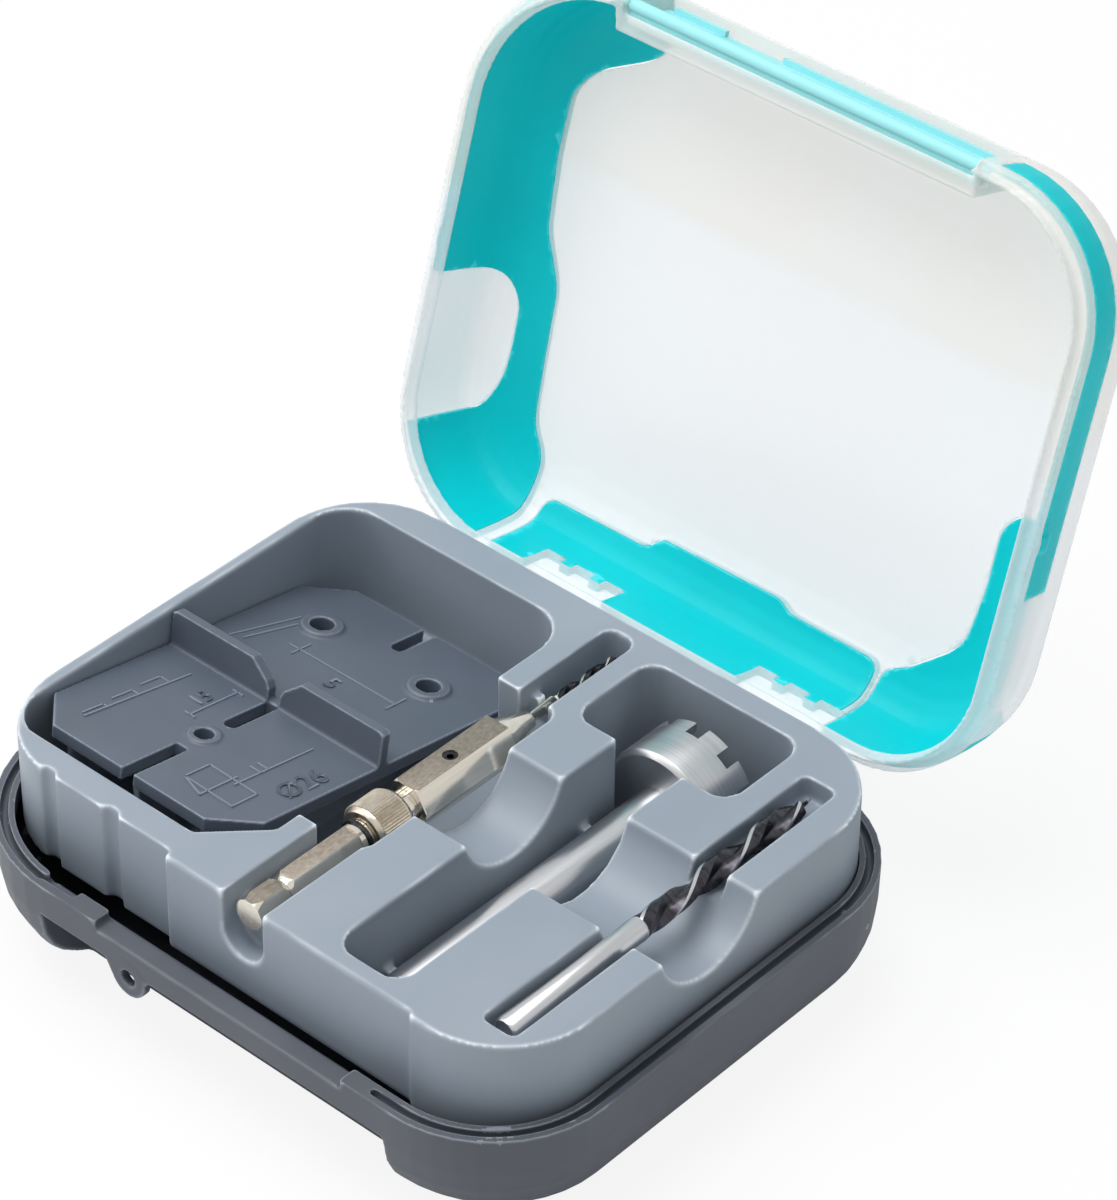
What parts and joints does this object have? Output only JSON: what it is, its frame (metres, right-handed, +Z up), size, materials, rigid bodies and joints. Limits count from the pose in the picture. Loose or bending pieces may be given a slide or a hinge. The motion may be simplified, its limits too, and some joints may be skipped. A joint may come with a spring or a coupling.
{
  "type": "drill bit case",
  "caption": "Flat hinged case with a clear and teal lid, a sprung hand latch, a moulded tray and its drilling set: marking template, hex quick-change holder, cup cutter and wood drill",
  "frame": {"origin": "centre of the base's underside", "axes": "+X to the viewer's right along the front (the long side), +Y from the front to the hinge, +Z up; lid stands open at rest"},
  "size_m": [0.153, 0.1814, 0.1489],
  "materials": {
    "base_shell": "fine matt mould texture",
    "tray": "satin vacuum-formed sheet",
    "hinge_pin": "drawn wire",
    "lid_clear": "clear moulded plastic",
    "lid_teal": "gloss, slightly see-through teal",
    "latch": "gloss, light teal",
    "template": "satin, engraved lines",
    "holder_steel": "turned, nickel-plated",
    "tool_steel": "turned and ground steel",
    "dark_steel": "blackened",
    "drill_steel": "ground flutes"
  },
  "bodies": {
    "base": {"base_shell": "base_shell", "tray_insert": "tray", "hinge_pin_left": "hinge_pin", "hinge_pin_right": "hinge_pin"},
    "lid": {"lid_shell": "lid_clear", "lid_panel_left": "lid_teal", "lid_corner_left": "lid_teal", "lid_panel_rear": "lid_teal", "lid_corner_right": "lid_teal", "lid_panel_right": "lid_teal", "latch_pin_left": "latch", "latch_pin_right": "latch"},
    "latch": {"latch_flap": "latch"},
    "template": {"template_plate": "template"},
    "bit": {"holder_shank": "holder_steel", "detent_ball": "holder_steel", "retaining_ring": "holder_steel", "guide_body": "holder_steel", "pilot_drill": "tool_steel", "grub_screw": "dark_steel"},
    "collar": {"release_collar": "holder_steel"},
    "cutter": {"cutter_shank": "tool_steel", "cutter_head": "tool_steel", "center_point": "tool_steel"},
    "drill": {"wood_drill": "drill_steel"}
  },
  "joints": [
    {"name": "lid_hinge", "type": "hinge", "parent": "base", "child": "lid", "pos_m": [0, 0.065, 0.028], "axis": [1, 0, 0], "range_deg": [0, 107]},
    {"name": "latch_pivot", "type": "hinge", "parent": "lid", "child": "latch", "pos_m": [0.0007, 0.10383, 0.14611], "axis": [1, 0, 0], "range_deg": [0, 180]},
    {"name": "template_lift", "type": "slide", "parent": "base", "child": "template", "axis": [0, 0, -1], "range_m": [-0.06, 0]},
    {"name": "bit_lift", "type": "slide", "parent": "base", "child": "bit", "axis": [0, 0, -1], "range_m": [-0.06, 0]},
    {"name": "collar_slide", "type": "slide", "parent": "bit", "child": "collar", "axis": [0, 1, 0], "range_m": [0, 0.0025], "stiffness_N_per_m": 400},
    {"name": "cutter_lift", "type": "slide", "parent": "base", "child": "cutter", "axis": [0, 0, -1], "range_m": [-0.06, 0]},
    {"name": "drill_lift", "type": "slide", "parent": "base", "child": "drill", "axis": [0, 0, -1], "range_m": [-0.06, 0]}
  ]
}
